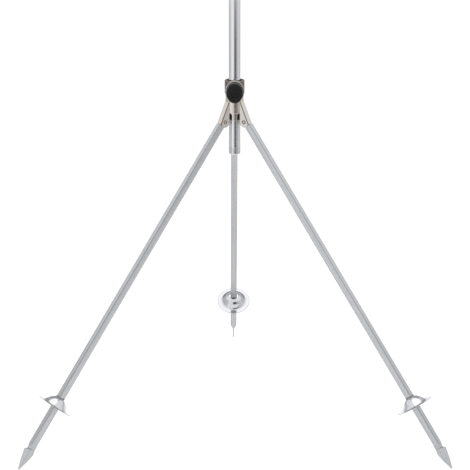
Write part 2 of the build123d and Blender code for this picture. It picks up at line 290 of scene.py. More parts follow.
# turned wall with a round hole through its front: a patch of faces is taken out of both sides, and
# a grid that runs from the patch's border to a circle, through the wall and back closes the gap
def piercedWall(outline, walls, sides=144, steps=12, half=8):
    radius, height, reach = hub["screwHole"], hub["clampHeight"], hub["holeReach"]
    outline = list(outline)
    for wall in walls:
        outline = insertRows(outline, wall, height + np.linspace(-reach, reach, steps + 1))
    outline = np.array(outline)
    whole = turned(outline, aroundMast, sides)
    front = sides * 3 // 4
    a = -math.pi / 2 + np.arange(-half, half + 1) * fullTurn / sides
    z = height + np.linspace(-reach, reach, steps + 1)
    border = np.concatenate(
        [
            np.stack([a[:-1], np.full(2 * half, z[0])], 1),
            np.stack([np.full(steps, a[-1]), z[:-1]], 1),
            np.stack([a[:0:-1], np.full(2 * half, z[-1])], 1),
            np.stack([np.full(steps, a[0]), z[:0:-1]], 1),
        ]
    )
    rings = []
    for wall, ease in zip(walls, (np.linspace(0, 1, 5), np.linspace(1, 0, 5))):
        x, up = wall * np.cos(border[:, 0]), border[:, 1] - height
        phi = np.arctan2(up, x)
        t = ease[:, None]
        x, up = x * (1 - t) + radius * np.cos(phi) * t, up * (1 - t) + radius * np.sin(phi) * t
        rings.append(aroundMast(x, -np.sqrt(wall**2 - x**2), height + up))
    middle = outline[whole.faces // sides % len(outline)].mean(1)
    column = whole.faces % sides
    inside = (column.min(1) >= front - half) & (column.max(1) <= front + half)
    inside &= np.abs(middle[:, 1] - height) < reach
    whole.faces, whole.corners = whole.faces[~inside], whole.corners[~inside]
    lining = Surface(np.concatenate(rings), False, True)
    p = lining.points[lining.faces[: len(border)]]
    if np.cross(p[:, 2] - p[:, 0], p[:, 3] - p[:, 1])[:, 1].sum() > 0:
        lining.faces, lining.corners = lining.faces[:, ::-1], lining.corners[:, ::-1]
    return [whole, lining]


# puts rows at the given heights on the straight wall of one radius
def insertRows(outline, wall, heights):
    made = []
    for here, there in zip(outline, outline[1:] + outline[:1]):
        made.append(here)
        if abs(here[0] - wall) < 1e-6 and abs(there[0] - wall) < 1e-6:
            low, high = sorted((here[1], there[1]))
            extra = [h for h in heights if low + 1e-6 < h < high - 1e-6]
            extra = sorted(extra, reverse=here[1] > there[1])
            made += [np.array([wall, h]) for h in extra]
    kept = []
    for row in made:
        off = min(abs(row[1] - h) for h in heights)
        between = heights[0] < row[1] < heights[-1] and abs(row[0] - wall) < 1e-6
        if not between or off < 1e-6:
            kept.append(row)
    return kept


# places in metres: round the mast, in front of the clamp screw, and down a leg
def aroundMast(x, y, z):
    return np.stack([x, y, z + 0 * x], -1) * mm


def inFront(x, y, s):
    return np.stack([x, -s + 0 * x, hub["clampHeight"] + y], -1) * mm


def legAxes(azimuth):
    a, lean = math.radians(azimuth), math.radians(legs["lean"])
    out, up = np.array([math.cos(a), math.sin(a), 0]), np.array([0, 0, 1.0])
    down = out * math.sin(lean) - up * math.cos(lean)
    normal = out * math.cos(lean) + up * math.sin(lean)
    return out * legs["pivotRadius"] + up * legs["pivotHeight"], down, normal, np.cross(down, normal)


def downLeg(azimuth):
    pivot, down, normal, across = legAxes(azimuth)

    def place(x, y, s):
        x, y, s = np.broadcast_arrays(x, y, s)
        out = normal * (x + legs["offset"])[..., None]
        return (pivot + out + across * y[..., None] + down * s[..., None]) * mm

    return place


def onRadius(azimuth):
    a = math.radians(azimuth)
    out, across = np.array([math.cos(a), math.sin(a), 0]), np.array([-math.sin(a), math.cos(a), 0])

    def place(r, t, z):
        r, t, z = np.broadcast_arrays(r, t, z)
        return (out * r[..., None] + across * t[..., None] + np.array([0, 0, 1.0]) * z[..., None]) * mm

    return place


# values shared by several pieces, in mm and degrees

mast = {"radius": 12.5, "wall": 1.5, "foot": 622.5, "top": 1400.0, "capHeight": 16.0, "plugFlange": 9.0}
hub = {
    "clampHeight": 765.0,
    "sleeveRadius": 19.4,
    "sleeveWall": 1.8,
    "sleeveFoot": 716.0,
    "sleeveHead": 786.3,
    "neckRadius": 14.9,
    "neckBore": 14.0,
    "neckFoot": 700.0,
    "screwHole": 5.0,
    "holeReach": 6.2,
}
legs = {
    "lean": 35.8,
    "pivotRadius": 27.5,
    "pivotHeight": 698.0,
    "tube": 14.0,
    "offset": 1.5,
    "azimuths": {"left": 210.0, "right": 330.0, "rear": 90.0},
}
leanSin, leanCos = math.sin(math.radians(legs["lean"])), math.cos(math.radians(legs["lean"]))
legs["length"] = (legs["pivotHeight"] + (legs["offset"] - 0.6) * leanSin) / leanCos

# finishes


# satin tube: fine drawn lines along it, faint cloudy handling marks, small dull nicks
def makeMastMetal():
    values = {
        "colour": (0.63, 0.635, 0.65),
        "pale": (0.70, 0.70, 0.71),
        "roughness": 0.17,
        "lineDepth": 0.00002,
    }
    p = Paint("mastMetal")
    uv = p.along()
    lines = p.noise(p.stretched(uv, (1400, 7, 1)), 1.0, 3)
    clouds = p.noise(p.place(), 22.0, 3)
    nicks = p.between(p.noise(p.stretched(uv, (220, 60, 1)), 1.0, 2), 0.68, 0.76)
    p.set(
        Base_Color=p.blend(lines * 0.5 + clouds * 0.3, values["colour"], values["pale"]),
        Metallic=1.0,
        Roughness=lines * 0.05 + clouds * 0.06 + nicks * 0.12 + (values["roughness"] - 0.05),
        Normal=p.bump(lines + nicks * 0.6, 0.25, values["lineDepth"]),
    )
    return p.material


# zinc-plated drawn tube: lengthwise lines, milky spangle and pale rubbed spots; painted dark reflection along
# its bent corners and painted shade in the pocket at the shoulder
def makeLegSteel():
    values = {
        "colour": (0.45, 0.46, 0.475),
        "dark": (0.25, 0.255, 0.27),
        "rubbed": (0.65, 0.66, 0.675),
        "cornerDarkReflection": (0.17, 0.175, 0.18),
        "pocketShadeTone": (0.03, 0.03, 0.03),
        "lineDepth": 0.00004,
    }
    p = Paint("legSteel")
    uv = p.along()
    fine = p.noise(p.stretched(uv, (1500, 5, 1)), 1.0, 3)
    broad = p.noise(p.stretched(uv, (320, 2.2, 1)), 1.0, 2)
    spangle = p.node(
        "ShaderNodeTexVoronoi", {"feature": "F1"}, {"Vector": p.place(), "Scale": 190.0}, out="Distance"
    )
    cloud = p.noise(p.place(), 34.0, 4)
    corner, pit = p.mark("corner"), p.mark("pit")
    tone = p.between(fine * 0.5 + broad * 0.5, 0.3, 0.7)
    base = p.blend(tone, values["dark"], values["rubbed"])
    base = p.blend(0.4, base, values["colour"])
    base = p.blend(spangle * 0.25 + cloud * 0.1, base, values["rubbed"])
    # painted dark reflection: the corner mark darkens the bent corners towards the corner tone
    base = p.blend(corner * (0.5 + fine * 0.4), base, values["cornerDarkReflection"])
    p.set(
        # painted shade: the pocket mark darkens the shoulder's fold nearly to black
        Base_Color=p.blend(pit, base, values["pocketShadeTone"]),
        Metallic=1.0,
        Roughness=0.27 + cloud * 0.12 + tone * 0.08,
        Normal=p.bump(fine + broad * 1.4 + cloud * 0.3, 0.35, values["lineDepth"]),
    )
    return p.material


# bright plated pressing: draw rings round the crown, faint orange peel, a rougher brim edge; the brim mark
# also paints shade, darker at the rolled edge and in the crown's root
def makeDiscChrome():
    values = {
        "colour": (0.64, 0.645, 0.67),
        "dull": (0.57, 0.575, 0.60),
        "edge": (0.30, 0.30, 0.31),
        "roughness": 0.05,
    }
    p = Paint("discChrome")
    uv = p.along()
    rings = p.noise(p.stretched(uv, (4, 900, 1)), 1.0, 2)
    peel = p.noise(p.place(), 160.0, 2)
    slanted = p.stretched(p.rotated(p.place(), (0.4, 0.2, 0.9)), (60, 240, 90))
    scuffs = p.between(p.noise(slanted, 1.0, 3), 0.60, 0.75)
    brim = p.mark("brim")
    p.set(
        # painted shade: the brim mark darkens the rolled edge and the crown's root towards the edge tone
        Base_Color=p.blend(brim * 0.8, p.blend(rings, values["colour"], values["dull"]), values["edge"]),
        Metallic=1.0,
        Roughness=values["roughness"] + scuffs * 0.10 + rings * 0.03 + brim * 0.2,
        Normal=p.bump(peel * 0.6 + rings * 0.4 + scuffs * 0.3, 0.12, 0.00003),
    )
    return p.material


# warm nickel plate; the bend mark paints shade and a dark reflection into its bends
def makeNickel(name, colour, roughness, grain):
    p = Paint(name)
    where = p.place()
    brushed = p.noise(p.stretched(where, grain), 1.0, 3)
    cloud = p.noise(where, 60.0, 4)
    pits = p.between(p.noise(where, 900.0, 2), 0.66, 0.74)
    bend = p.mark("bend")
    base = p.blend(brushed * 0.6, colour, tuple(c * 0.8 for c in colour))
    base = p.blend(cloud * 0.25, base, tuple(min(1, c * 1.18) for c in colour))
    p.set(
        # painted shade and dark reflection: the bend mark blends the bends to near black
        Base_Color=p.blend(bend, base, (0.085, 0.07, 0.06)),
        Metallic=1.0,
        Roughness=roughness + cloud * 0.08 + brushed * 0.05 + pits * 0.15,
        Normal=p.bump(brushed * 0.7 + pits * 0.8 + cloud * 0.2, 0.2, 0.00003),
    )
    return p.material


# turned or rolled plain steel, with tool marks round the axis given by the grain
def makeSteel(name, colour, roughness, grain):
    p = Paint(name)
    marks = p.noise(p.stretched(p.place(), grain), 1.0, 3)
    stain = p.noise(p.place(), 120.0, 3)
    p.set(
        Base_Color=p.blend(stain * 0.6, colour, tuple(c * 0.6 for c in colour)),
        Metallic=1.0,
        Roughness=roughness + marks * 0.12 + stain * 0.08,
        Normal=p.bump(marks, 0.3, 0.00003),
    )
    return p.material


# moulded black plastic: fine spark-eroded grain, grey rubbed high spots, faint flow clouds
def makePlastic(name, colour, rubbed, roughness, grainScale, grainDepth):
    p = Paint(name)
    where = p.place()
    grain = p.noise(where, grainScale, 3, 0.6)
    flow = p.noise(where, 45.0, 3)
    worn = p.mark("worn") * p.between(p.noise(where, 300.0, 4), 0.35, 0.7)
    p.set(
        Base_Color=p.blend(worn * 0.7 + flow * 0.25, colour, rubbed),
        Roughness=roughness + grain * 0.12 + flow * 0.06 - worn * 0.08,
        Normal=p.bump(grain, 0.35, grainDepth),
        Specular_IOR_Level=0.2,
    )
    return p.material


# rubber: matt, with a dusty bloom and moulding pimples
def makeRubber():
    p = Paint("grommetRubber")
    where = p.place()
    pimple = p.noise(where, 1400.0, 2)
    dust = p.between(p.noise(where, 260.0, 4), 0.45, 0.7)
    p.set(
        Base_Color=p.blend(dust * 0.5, (0.16, 0.16, 0.165), (0.27, 0.27, 0.272)),
        Roughness=0.62 + dust * 0.2,
        Normal=p.bump(pimple, 0.4, 0.00004),
    )
    return p.material


blackRubbed = (0.03, 0.031, 0.031)
finish = {
    "mastMetal": makeMastMetal(),
    "capMetal": makeSteel("capMetal", (0.66, 0.66, 0.67), 0.10, (30, 30, 1500)),
    "legSteel": makeLegSteel(),
    "discChrome": makeDiscChrome(),
    "sleeveNickel": makeNickel("sleeveNickel", (0.62, 0.565, 0.52), 0.16, (40, 40, 900)),
    "forkNickel": makeNickel("forkNickel", (0.60, 0.565, 0.53), 0.26, (500, 500, 60)),
    "collarNickel": makeNickel("collarNickel", (0.17, 0.15, 0.145), 0.18, (40, 40, 1100)),
    "rivetSteel": makeSteel("rivetSteel", (0.30, 0.275, 0.25), 0.28, (700, 700, 700)),
    "screwSteel": makeSteel("screwSteel", (0.5, 0.5, 0.51), 0.28, (60, 900, 60)),
    "plateChrome": makeSteel("plateChrome", (0.72, 0.72, 0.73), 0.12, (500, 40, 500)),
    "socketBrass": makeSteel("socketBrass", (0.66, 0.47, 0.20), 0.22, (60, 60, 1500)),
    "knobPlastic": makePlastic("knobPlastic", (0.0035, 0.0038, 0.0037), blackRubbed, 0.30, 1500.0, 0.00005),
    "knobCapPlastic": makePlastic("knobCapPlastic", (0.005, 0.0055, 0.0053), blackRubbed, 0.14, 600.0, 1e-5),
    "bushNylon": makePlastic("bushNylon", (0.012, 0.011, 0.010), (0.05, 0.048, 0.045), 0.42, 900.0, 0.00003),
    "plugPlastic": makePlastic("plugPlastic", (0.011, 0.011, 0.0115), (0.05,) * 3, 0.40, 1100.0, 0.00004),
    "grommetRubber": makeRubber(),
}
print("finishes made:", len(finish))

# mast

tubeFoot, tubeHead = mast["foot"] + mast["capHeight"], mast["top"] - mast["plugFlange"]
bore = mast["radius"] - mast["wall"]
tubeOutline = softOutline(
    [
        (mast["radius"], tubeFoot + 0.02, 0.25),
        (mast["radius"], tubeHead - 0.02, 0.25),
        (bore, tubeHead - 0.02, 0.2),
        (bore, tubeFoot + 0.02, 0.2),
    ],
    3,
)
buildTurned("mastTube", tubeOutline, 25, aroundMast, 128, "mast", "mastMetal", "mast_tube")

cap = {"lip": 4.0, "lipRadius": 12.75, "round": 3.5, "spigot": 16.0, "groove": 0.35}
lipFoot = tubeFoot - cap["lip"]
capOutline = softOutline(
    [
        (0, mast["foot"]),
        (mast["radius"], mast["foot"], cap["round"]),
        (mast["radius"], lipFoot - 0.9, 0.15),
        (mast["radius"] - cap["groove"], lipFoot - 0.6, 0.15),
        (mast["radius"] - cap["groove"], lipFoot - 0.1, 0.15),
        (cap["lipRadius"], lipFoot + 0.2, 0.35),
        (cap["lipRadius"], tubeFoot, 0.45),
        (bore - 0.02, tubeFoot, 0.1),
        (bore - 0.02, tubeFoot + cap["spigot"], 1.0),
        (0, tubeFoot + cap["spigot"]),
    ],
    7,
)
buildTurned("mastEndCap", capOutline, 4, aroundMast, 112, "mast", "capMetal", "mast_end_cap")

plug = {
    "insert": 7.0,
    "insertLength": 22.0,
    "spigot": 25.0,
    "thread": 4.15,
    "threadDepth": 0.62,
    "depth": 18.0,
    "pitch": 1.27,
}
plugOutline = softOutline(
    [
        (plug["insert"] + 0.01, mast["top"] - 0.3, 0.2),
        (plug["insert"] + 0.7, mast["top"], 0.3),
        (mast["radius"], mast["top"], 2.0),
        (mast["radius"], tubeHead, 0.2),
        (bore - 0.02, tubeHead, 0.1),
        (bore - 0.02, tubeHead - plug["spigot"], 1.2),
        (0, tubeHead - plug["spigot"]),
        (0, mast["top"] - plug["insertLength"]),
        (plug["insert"] + 0.01, mast["top"] - plug["insertLength"]),
    ],
    5,
)
plugNode = "mast_top_plug"
buildTurned("mastTopPlug", plugOutline, 5, aroundMast, 96, "mast", "plugPlastic", plugNode)


# threaded wall: radius swings by a triangle wave of height / pitch - angle / turn
def threadWave(angle, height, pitch):
    phase = (height / pitch - angle / fullTurn) % 1.0
    return np.abs(2 * phase - 1)


def threadedInsert():
    sides, rings = 72, 150
    angle = np.arange(sides) * fullTurn / sides
    mouth = softOutline(
        [
            (0, mast["top"] - plug["insertLength"]),
            (plug["insert"] - 0.01, mast["top"] - plug["insertLength"], 0.3),
            (plug["insert"] - 0.01, mast["top"] - 0.02, 0.35),
            (plug["thread"] + 0.9, mast["top"] - 0.02),
        ],
        4,
    )
    top, flat = mast["top"], 0 * angle
    height = np.linspace(top - 0.75, top - plug["depth"], rings)[:, None]
    ease = np.clip((top - height) / 2.5, 0, 1) * np.clip((height - top + plug["depth"]) / 1.5, 0, 1)
    wall = plug["thread"] + plug["threadDepth"] * threadWave(angle, height, plug["pitch"]) * ease
    r = np.concatenate([mouth[:, :1] + flat, wall, flat[None]])
    z = np.concatenate([mouth[:, 1:] + flat, height + flat, flat[None] + top - plug["depth"]])
    return Surface(aroundMast(r * np.cos(angle), r * np.sin(angle), z), True, True)


buildPiece("socketInsert", [threadedInsert()], "mast", "socketBrass", "socket_insert")
print("mast made")

# hub

sleeve = {"floor": 2.5, "slots": 6, "slotWidth": 4.3, "slotTop": 712.5, "rim": 0.5, "footRound": 1.0}
sleeveBore = hub["sleeveRadius"] - hub["sleeveWall"]
sleeveOutline = softOutline(
    [
        (hub["neckBore"], sleeve["slotTop"], 0.0),
        (hub["neckRadius"], sleeve["slotTop"], 0.0),
        (hub["neckRadius"], hub["sleeveFoot"], 0.35),
        (hub["sleeveRadius"], hub["sleeveFoot"], sleeve["footRound"]),
        (hub["sleeveRadius"], hub["sleeveHead"], sleeve["rim"]),
        (sleeveBore, hub["sleeveHead"], sleeve["rim"]),
        (sleeveBore, hub["sleeveFoot"] + sleeve["floor"], 0.5),
        (hub["neckBore"], hub["sleeveFoot"] + sleeve["floor"], 0.3),
    ],
    6,
)


# one spring finger: an outline (radius, height) with eased corners, swept through an angle
def springFinger(middle):
    gap = math.asin(sleeve["slotWidth"] / 2 / hub["neckRadius"])
    spread = fullTurn / sleeve["slots"] / 2 - gap
    loop = softOutline(
        [
            (hub["neckBore"], hub["neckFoot"], 0.2),
            (hub["neckRadius"], hub["neckFoot"], 0.35),
            (hub["neckRadius"], sleeve["slotTop"] + 0.3),
            (hub["neckBore"], sleeve["slotTop"] + 0.3),
        ],
        4,
    )
    loop = finer(loop, 2.0)
    a = np.linspace(-spread, spread, 17)[:, None] + middle
    # the first and last rows close onto the loop's own middle, which caps the block
    endR, endZ = (np.full((1, len(loop)), c) for c in loop.mean(0))
    r = np.concatenate([endR, loop[:, 0] + 0 * a, endR])
    z = np.concatenate([endZ, loop[:, 1] + 0 * a, endZ])
    a = np.concatenate([a[:1], a, a[-1:]])
    return Surface(aroundMast(r * np.cos(a), r * np.sin(a), z), False, True)


fingers = [springFinger(math.radians(60 * k + 30)) for k in range(sleeve["slots"])]
sleeveWalls = piercedWall(finer(sleeveOutline, 6), (hub["sleeveRadius"], sleeveBore))
buildPiece("hubSleeve", sleeveWalls + fingers, "hub", "sleeveNickel", "hub_sleeve")

bush = {"running": 0.05, "flangeFoot": 718.6, "flange": 2.5, "upperFoot": 774.0, "upperHead": 782.0}
bushInner = mast["radius"] + bush["running"]
guideOutline = softOutline(
    [
        (bushInner, hub["neckFoot"] + 0.5, 0.3),
        (hub["neckBore"] - bush["running"], hub["neckFoot"] + 0.5, 0.3),
        (hub["neckBore"] - bush["running"], bush["flangeFoot"]),
        (sleeveBore - 0.3, bush["flangeFoot"], 0.3),
        (sleeveBore - 0.3, bush["flangeFoot"] + bush["flange"], 0.3),
        (bushInner, bush["flangeFoot"] + bush["flange"], 0.3),
    ],
    3,
)
buildTurned("guideBush", guideOutline, 3, aroundMast, 96, "swivel", "bushNylon", "guide_bush")
upperOutline = softOutline(
    [
        (bushInner, bush["upperFoot"], 0.3),
        (sleeveBore, bush["upperFoot"], 0.1),
        (sleeveBore, bush["upperHead"], 0.1),
        (bushInner + 1.2, bush["upperHead"], 0.4),
        (bushInner, bush["upperHead"] - 1.0, 0.4),
    ],
    4,
)
buildTurned("upperBush", upperOutline, 3, aroundMast, 96, "hub", "bushNylon", "upper_bush")

collar = {"radius": 21.4, "foot": 757.5, "head": 786.0, "round": 0.95, "bead": 0.25}
collarOutline = softOutline(
    [
        (hub["sleeveRadius"] - 0.02, collar["foot"], 0.1),
        (collar["radius"], collar["foot"], collar["round"]),
        (collar["radius"], collar["head"] - 3.4, 0.4),
        (collar["radius"] - collar["bead"], collar["head"] - 3.0, 0.3),
        (collar["radius"] - collar["bead"], collar["head"] - 2.6, 0.3),
        (collar["radius"], collar["head"] - 2.2, 0.4),
        (collar["radius"], collar["head"], collar["round"]),
        (hub["sleeveRadius"] - 0.02, collar["head"], 0.1),
    ],
    6,
)
collarWalls = piercedWall(finer(collarOutline, 4), (collar["radius"], hub["sleeveRadius"] - 0.02))
buildPiece("clampCollar", collarWalls, "hub", "collarNickel", "clamp_collar")
print("hub made")

# clamp

clamp = {
    "boss": 7.0,
    "bossBack": 14.2,
    "bossFace": 22.6,
    "screw": 4.0,
    "screwStart": 15.05,
    "pitch": 1.25,
    "threadDepth": 0.6,
    "plateBack": 23.0,
    "plate": 1.4,
    "plateWide": 20.4,
    "plateTall": 23.8,
}
bossOutline = softOutline(
    [
        (clamp["screw"] + 0.05, clamp["bossBack"], 0.2),
        (clamp["boss"], clamp["bossBack"], 0.3),
        (clamp["boss"], clamp["bossFace"], 0.5),
        (clamp["screw"] + 0.05, clamp["bossFace"], 0.3),
    ],
    4,
)
buildTurned("clampBoss", bossOutline, 2, inFront, 64, "hub", "screwSteel", "clamp_boss")


# oval disc: an outline (inset from the rim, distance) carried round an ellipse, less the wave of its
# flutes; cut says how much of a flute's depth each point of the outline has
def oval(wide, tall, outline, sides, flutes=0, depth=1.0, cut=None):
    a = np.arange(sides) * fullTurn / sides
    inset, s = outline[:, :1], outline[:, 1:2]
    cut = 0 * inset if cut is None else cut[:, None]
    # each flute is a raised cosine, sharpened so that the ribs between stay broad
    wave = ((1 + np.cos(a * flutes)) / 2) ** 1.6 * depth
    x = (wide - inset - wave * cut) * np.cos(a)
    y = (tall - inset * tall / wide - wave * cut) * np.sin(a)
    marks = {"worn": cut * (1 - wave / depth) * 0.9} if flutes else None
    return Surface(inFront(x, y, s + 0 * a), True, True, None, marks)


plateFace = clamp["plateBack"] + clamp["plate"]
plateOutline = softOutline(
    [
        (0, clamp["plateBack"], 0.45),
        (0, plateFace, 0.6),
        (clamp["plateWide"] - clamp["screw"], plateFace),
        (clamp["plateWide"] - clamp["screw"], clamp["plateBack"]),
    ],
    6,
)
plate = oval(clamp["plateWide"], clamp["plateTall"], finer(plateOutline, 2.5), 160)
buildPiece("knobPlate", [plate], "knob", "plateChrome", "knob_plate")

knob = {
    "wide": 17.6,
    "tall": 21.4,
    "thick": 18.0,
    "round": 3.0,
    "flutes": 24,
    "fluteDepth": 0.95,
    "cap": 7.0,
    "recess": 2.2,
}
knobFace = plateFace + knob["thick"]
knobOutline = softOutline(
    [
        (0.9, plateFace + 0.01, 0.6),
        (0.0, plateFace + 1.2, 0.8),
        (0.0, knobFace - 0.02, knob["round"]),
        (knob["wide"] - knob["cap"] - 0.4, knobFace - 0.02, 0.35),
        (knob["wide"] - knob["cap"], knobFace - knob["recess"], 0.1),
        (knob["wide"], knobFace - knob["recess"]),
        (knob["wide"], plateFace + 0.01),
    ],
    8,
)
knobFine = finer(knobOutline, 1.1)
# flutes fade out towards the knob's back and over its front edge
station = knobFine[:, 1]
rise = np.clip((station - plateFace - 0.8) / 1.6, 0, 1) * np.clip((knobFace - 2.2 - station) / 2.2, 0, 1)
fluted = np.where(knobFine[:, 0] < 3.0, rise * rise * (3 - 2 * rise), 0)
grip = oval(knob["wide"], knob["tall"], knobFine, 384, knob["flutes"], knob["fluteDepth"], fluted)
buildPiece("clampKnob", [grip], "knob", "knobPlastic", "clamp_knob", sharp=40)

capFace = knobFace - 0.4
capDome = softOutline(
    [
        (0, knobFace - knob["recess"]),
        (knob["cap"] - 0.05, knobFace - knob["recess"]),
        (knob["cap"] - 0.05, capFace - 0.35, 0.5),
        (knob["cap"] - 1.1, capFace, 0.6),
        (knob["cap"] - 1.9, capFace - 0.35, 0.5),
        (0, capFace - 0.1),
    ],
    6,
)
buildTurned("knobCap", capDome, 0.8, inFront, 96, "knob", "knobCapPlastic", "knob_cap")


# threaded rod: crest radius less a triangle wave, eased flat at the knob end
def screwThread():
    sides, rings = 64, 120
    start, end = clamp["screwStart"], knobFace - 6.0
    a = np.arange(sides) * fullTurn / sides
    s = np.linspace(start, end, rings)[:, None]
    ease = np.clip((plateFace - s) / 0.8, 0, 1)
    r = clamp["screw"] - 0.01 - clamp["threadDepth"] * threadWave(-a, s, clamp["pitch"]) * ease
    zero = 0 * a[None]
    r = np.concatenate([zero, r, zero])
    s = np.concatenate([zero + start, s + 0 * a, zero + end])
    return Surface(inFront(r * np.cos(a), r * np.sin(a), s), False, True)


buildPiece("clampScrew", [screwThread()], "knob", "screwSteel", "clamp_screw")
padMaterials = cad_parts["clamp_pad"].data.materials
padMaterials.clear()
padMaterials.append(finish["bushNylon"])
print("clamp made")

# forks and rivets

fork = {
    "halfWidth": 8.6,
    "wall": 1.2,
    "bend": 1.9,
    "head": (16.8, 745.75),
    "foot": (38.8, 694.2),
    "edge": 17.9,
    "cornerRound": 10.5,
    "corner": (28.4, 696.6),
}


# channel: a web line and a free edge, both n x 2, joined by two side plates; the section is a U of
# even thickness whose bends are arcs about a centre one bend radius in from the web
def channel(web, edge, half, wall, bend, place):
    along = np.gradient(web, axis=0)
    along /= np.linalg.norm(along, axis=1, keepdims=True)
    inward = np.stack([-along[:, 1], along[:, 0]], 1)
    flip = np.sign(np.einsum("ij,ij->i", inward, edge - web).sum())
    inward = inward * flip
    across = np.linspace(1, 0, 9)[:, None, None]
    start = web + inward * bend
    plate = start + (edge - start) * across
    alpha = np.linspace(0, math.pi / 2, 8)[1:-1, None]

    def skin(radius, lateral):
        arcs = start[None] - inward[None] * (radius * np.sin(alpha))[..., None]
        reach = half - bend + radius * np.cos(alpha)[:, 0]
        face = start[None] - inward[None] * radius + np.zeros((5, 1, 1))
        spread = np.linspace(half - bend, -(half - bend), 5)
        flat = np.concatenate([plate, arcs, face, arcs[::-1], plate[::-1]])
        t = np.concatenate([np.full(9, lateral), reach, spread, -reach[::-1], np.full(9, -lateral)])
        # the mark paints shade and a dark reflection into the bends; the inner skin carries it at half
        # strength, painted shade inside the channel
        mark = np.concatenate([np.zeros(9), np.sin(2 * alpha[:, 0]) ** 0.7, np.zeros(5)])
        mark = np.concatenate([mark, mark[9:15][::-1], np.zeros(9)])
        return flat, t, mark

    outer, tOuter, markOuter = skin(bend, half)
    inner, tInner, markInner = skin(bend - wall, half - wall)
    flat = np.concatenate([outer, inner[::-1]])
    t = np.concatenate([tOuter, tInner[::-1]])
    mark = np.concatenate([markOuter, markInner[::-1] * 0.5])
    points = place(flat[..., 0], t[:, None] + 0 * flat[..., 0], flat[..., 1]).transpose(1, 0, 2)
    marks = {"bend": mark[None, :], "corner": mark[None, :]}
    return Surface(points, False, True, None, marks, thinCaps=True)


def forkLines():
    steps = 40
    u = np.linspace(0, 1, steps)[:, None]
    web = np.array(fork["head"]) + (np.array(fork["foot"]) - np.array(fork["head"])) * u
    # the free edge runs straight down, then turns round the plates' lower corner
    cx, cz = fork["corner"]
    arc = math.radians(130) * fork["cornerRound"]
    straight = fork["head"][1] - 1.0 - cz
    walked = u[:, 0] * (straight + arc)
    angle = math.pi + np.clip(walked - straight, 0, arc) / fork["cornerRound"]
    z = np.where(walked < straight, fork["head"][1] - 1.0 - walked, cz + fork["cornerRound"] * np.sin(angle))
    x = np.where(walked < straight, fork["edge"], cx + fork["cornerRound"] * np.cos(angle))
    x = x - 0.7 * np.clip((z - 714) / 4, 0, 1)
    return web, np.stack([x, z], 1)


rivet = {"shank": 3.0, "hollow": 2.0, "head": 4.6, "rise": 1.5}


def rivetOutline():
    face = fork["halfWidth"] + 0.01
    side = [
        (rivet["shank"], face, 0.0),
        (rivet["head"], face, 0.25),
        (rivet["head"] - 0.9, face + rivet["rise"], 0.7),
        (rivet["hollow"] + 0.3, face + rivet["rise"] * 0.8, 0.5),
        (rivet["hollow"], face + rivet["rise"] * 0.4, 0.3),
    ]
    return softOutline(side + [(r, -s, c) for r, s, c in side[::-1]], 5)


webLine, edgeLine = forkLines()
for sideName, azimuth in legs["azimuths"].items():
    place = onRadius(azimuth)
    bent = channel(webLine, edgeLine, fork["halfWidth"], fork["wall"], fork["bend"], place)
    buildPiece(f"fork-{sideName}", [bent], "hub", "forkNickel", f"fork_{sideName}")

    def onRivet(x, y, s, place=place):
        return place(legs["pivotRadius"] + x, s + 0 * x, legs["pivotHeight"] + y)

    name, node = f"pivotRivet-{sideName}", f"pivot_rivet_{sideName}"
    buildTurned(name, rivetOutline(), 1.5, onRivet, 64, "hub", "rivetSteel", node)
print("forks made")

# legs

leg = {
    "wall": 1.2,
    "corner": 1.4,
    "notch": 10.6,
    "notchDepth": 3.3,
    "tongue": 7.0,
    "pressStart": 63.0,
    "pressEnd": 46.5,
    "blade": 1.5,
    "bladeHalf": 13.2,
    "tip": 0.6,
}


# rounded rectangle section for whole arrays of stations: four corner arcs about their own centres
def tubeSection(low, high, half, corner, arcSteps=6):
    quarter = np.linspace(0, math.pi / 2, arcSteps)
    x, y, mark = [], [], []
    for k in range(4):
        angle = quarter + k * math.pi / 2
        sx, sy = (1, -1, -1, 1)[k], (1, 1, -1, -1)[k]
        middleX = np.where(sx > 0, high - corner, low + corner)
        x.append(middleX[:, None] + corner[:, None] * np.cos(angle))
        y.append((sy * (half - corner))[:, None] + corner[:, None] * np.sin(angle))
        # the mark, strongest mid-arc, carries a painted dark reflection along each corner
        mark.append(np.sin(2 * quarter) ** 0.8 + 0 * middleX[:, None])
    return np.concatenate(x, 1), np.concatenate(y, 1), np.concatenate(mark, 1)


# smooth ramp from 0 to 1 between two stations
def ramp(s, start, end):
    t = np.clip((s - start) / (end - start), 0, 1)
    return t * t * (3 - 2 * t)


